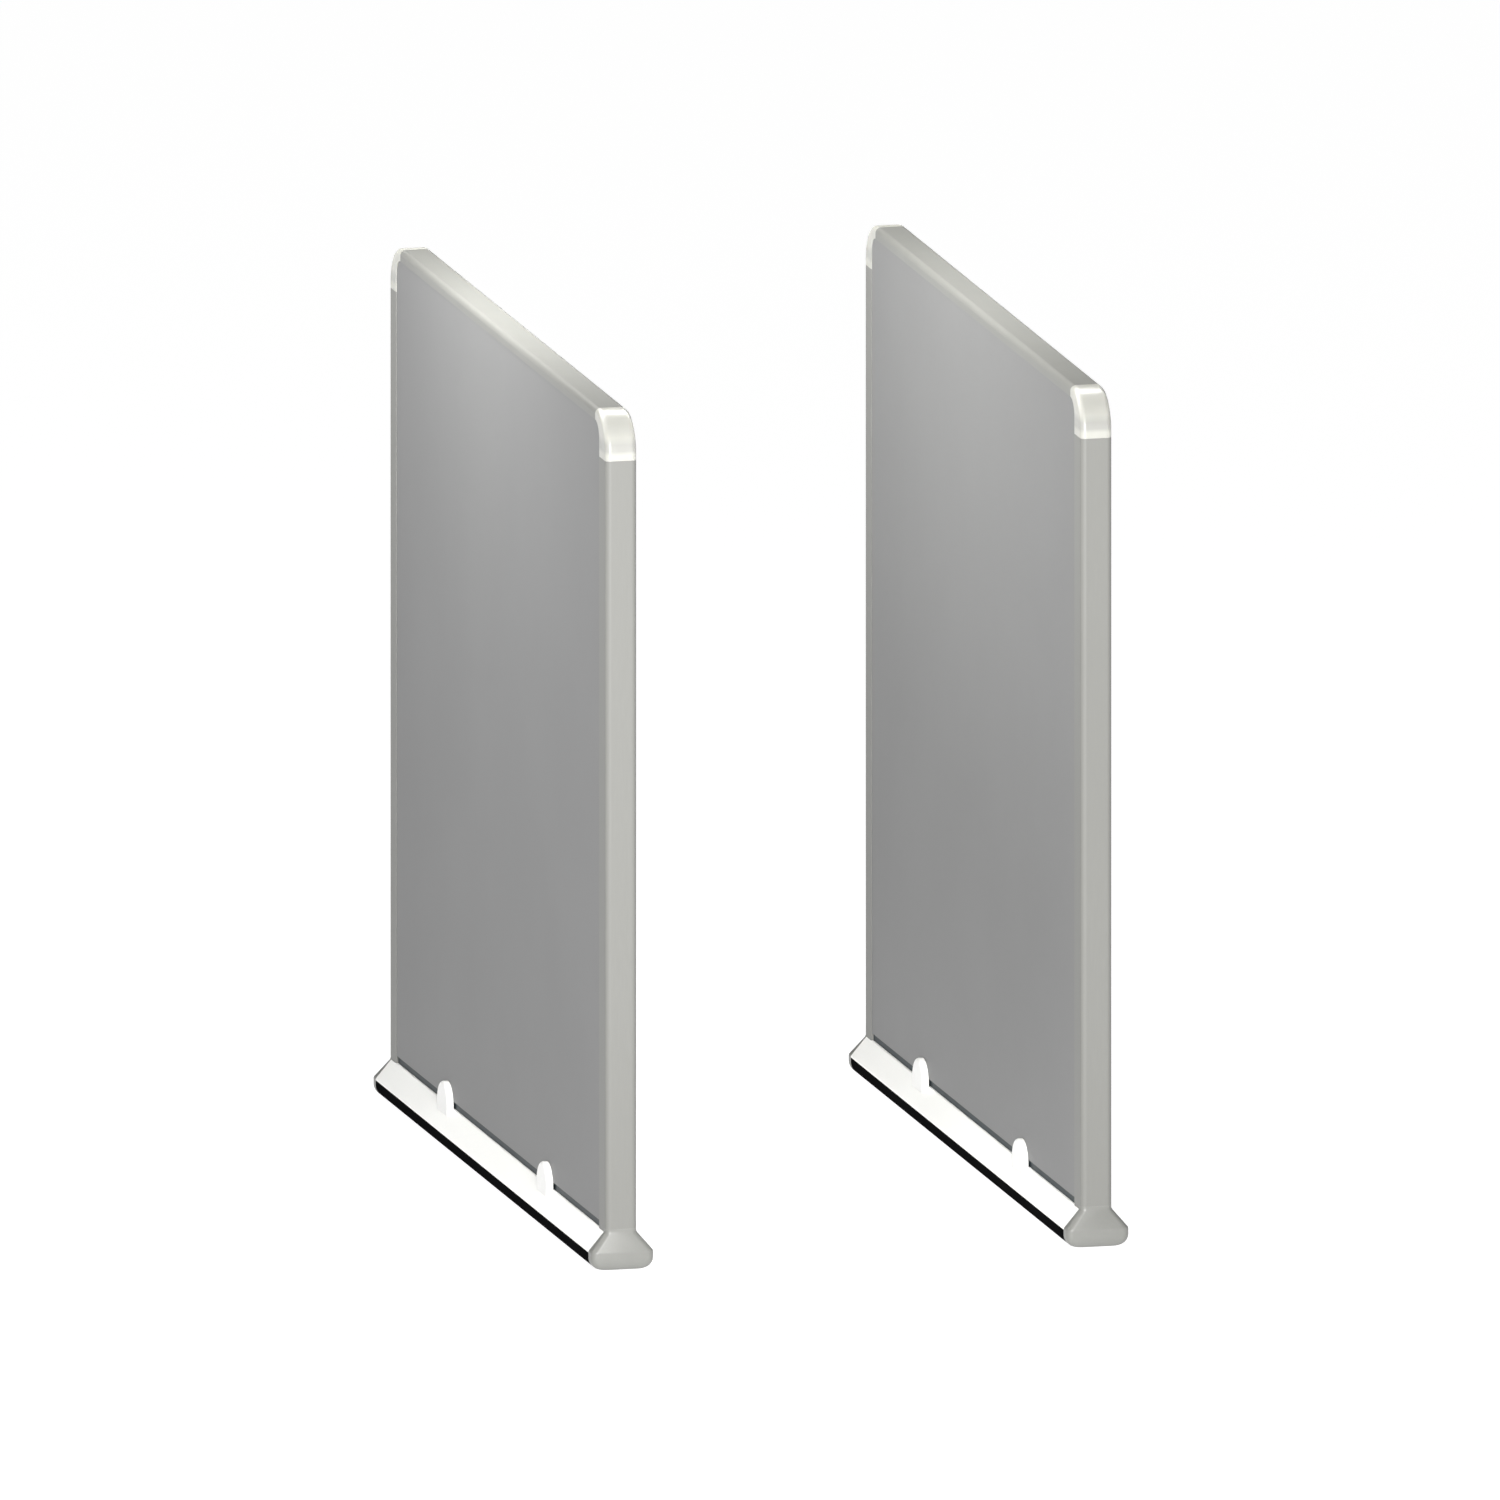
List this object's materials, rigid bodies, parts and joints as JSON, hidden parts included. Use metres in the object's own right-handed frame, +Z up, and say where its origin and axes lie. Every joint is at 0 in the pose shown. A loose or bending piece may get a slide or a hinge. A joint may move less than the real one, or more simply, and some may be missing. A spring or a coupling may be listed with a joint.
{
  "type": "security gate",
  "caption": "Retail entrance security gate: a pair of flat aerial pedestals with rounded top corners, white corner caps, sloping clip-on base covers and steel base plates for the floor.",
  "frame": {"origin": "on the floor, midway between the two pedestals", "axes": "+Z up, +Y along the walkway with the front at -Y, +X across the aisle from the left pedestal to the right one"},
  "size_m": [0.962, 1.616, 1.512],
  "materials": {
    "frame": "powder coated, satin, warm light grey",
    "dark_rail": "dark powder coat, matt",
    "corner_cap": "translucent white lens, polished",
    "skin": "grey sheet, fine satin grain",
    "base_cover": "white moulded, gloss",
    "bolt_cap": "white moulded, gloss",
    "foot_cap": "light grey moulded, satin",
    "skirt": "black, matt",
    "steel": "zinc plated sheet steel",
    "zinc": "bright zinc plated",
    "inner_aluminium": "mill finish",
    "coil": "copper wire bound in tape",
    "circuit_board": "solder resist",
    "components": "moulded parts",
    "lead": "insulated wire",
    "grommet": "black, matt"
  },
  "bodies": {
    "root": {"left_front_post": "frame", "left_rear_post": "frame", "left_top_rail": "frame", "left_bottom_rail": "dark_rail", "left_front_corner_cap": "corner_cap", "left_rear_corner_cap": "corner_cap", "left_outer_skin": "skin", "left_aisle_skin": "skin", "left_stiffeners": "inner_aluminium", "left_upper_coil": "coil", "left_lower_coil": "coil", "left_electronics_tray": "inner_aluminium", "left_circuit_board": "circuit_board", "left_board_components": "components", "left_sounder": "components", "left_lamp_boards": "circuit_board", "left_wiring": "lead", "left_cable_grommet": "grommet", "left_base_plate": "steel", "left_base_skirt": "skirt", "left_front_foot_cap": "foot_cap", "left_rear_foot_cap": "foot_cap", "left_floor_brackets": "steel", "left_fasteners": "zinc", "right_front_post": "frame", "right_rear_post": "frame", "right_top_rail": "frame", "right_bottom_rail": "dark_rail", "right_front_corner_cap": "corner_cap", "right_rear_corner_cap": "corner_cap", "right_outer_skin": "skin", "right_aisle_skin": "skin", "right_stiffeners": "inner_aluminium", "right_upper_coil": "coil", "right_lower_coil": "coil", "right_electronics_tray": "inner_aluminium", "right_circuit_board": "circuit_board", "right_board_components": "components", "right_sounder": "components", "right_lamp_boards": "circuit_board", "right_wiring": "lead", "right_cable_grommet": "grommet", "right_base_plate": "steel", "right_base_skirt": "skirt", "right_front_foot_cap": "foot_cap", "right_rear_foot_cap": "foot_cap", "right_floor_brackets": "steel", "right_fasteners": "zinc"},
    "left_outer_cover": {"left_outer_base_cover": "base_cover"},
    "left_outer_front_cap": {"left_outer_front_bolt_cap": "bolt_cap"},
    "left_outer_rear_cap": {"left_outer_rear_bolt_cap": "bolt_cap"},
    "left_aisle_cover": {"left_aisle_base_cover": "base_cover"},
    "left_aisle_front_cap": {"left_aisle_front_bolt_cap": "bolt_cap"},
    "left_aisle_rear_cap": {"left_aisle_rear_bolt_cap": "bolt_cap"},
    "right_outer_cover": {"right_outer_base_cover": "base_cover"},
    "right_outer_front_cap": {"right_outer_front_bolt_cap": "bolt_cap"},
    "right_outer_rear_cap": {"right_outer_rear_bolt_cap": "bolt_cap"},
    "right_aisle_cover": {"right_aisle_base_cover": "base_cover"},
    "right_aisle_front_cap": {"right_aisle_front_bolt_cap": "bolt_cap"},
    "right_aisle_rear_cap": {"right_aisle_rear_bolt_cap": "bolt_cap"}
  },
  "joints": [
    {"name": "left_outer_cover_slide", "type": "slide", "parent": "root", "child": "left_outer_cover", "axis": [-1, 0, 0], "range_m": [0, 0.1]},
    {"name": "left_outer_front_cap_slide", "type": "slide", "parent": "left_outer_cover", "child": "left_outer_front_cap", "axis": [-1, 0, 0], "range_m": [0, 0.03]},
    {"name": "left_outer_rear_cap_slide", "type": "slide", "parent": "left_outer_cover", "child": "left_outer_rear_cap", "axis": [-1, 0, 0], "range_m": [0, 0.03]},
    {"name": "left_aisle_cover_slide", "type": "slide", "parent": "root", "child": "left_aisle_cover", "axis": [1, 0, 0], "range_m": [0, 0.1]},
    {"name": "left_aisle_front_cap_slide", "type": "slide", "parent": "left_aisle_cover", "child": "left_aisle_front_cap", "axis": [1, 0, 0], "range_m": [0, 0.03]},
    {"name": "left_aisle_rear_cap_slide", "type": "slide", "parent": "left_aisle_cover", "child": "left_aisle_rear_cap", "axis": [1, 0, 0], "range_m": [0, 0.03]},
    {"name": "right_outer_cover_slide", "type": "slide", "parent": "root", "child": "right_outer_cover", "axis": [1, 0, 0], "range_m": [0, 0.1]},
    {"name": "right_outer_front_cap_slide", "type": "slide", "parent": "right_outer_cover", "child": "right_outer_front_cap", "axis": [1, 0, 0], "range_m": [0, 0.03]},
    {"name": "right_outer_rear_cap_slide", "type": "slide", "parent": "right_outer_cover", "child": "right_outer_rear_cap", "axis": [1, 0, 0], "range_m": [0, 0.03]},
    {"name": "right_aisle_cover_slide", "type": "slide", "parent": "root", "child": "right_aisle_cover", "axis": [-1, 0, 0], "range_m": [0, 0.1]},
    {"name": "right_aisle_front_cap_slide", "type": "slide", "parent": "right_aisle_cover", "child": "right_aisle_front_cap", "axis": [-1, 0, 0], "range_m": [0, 0.03]},
    {"name": "right_aisle_rear_cap_slide", "type": "slide", "parent": "right_aisle_cover", "child": "right_aisle_rear_cap", "axis": [-1, 0, 0], "range_m": [0, 0.03]}
  ]
}
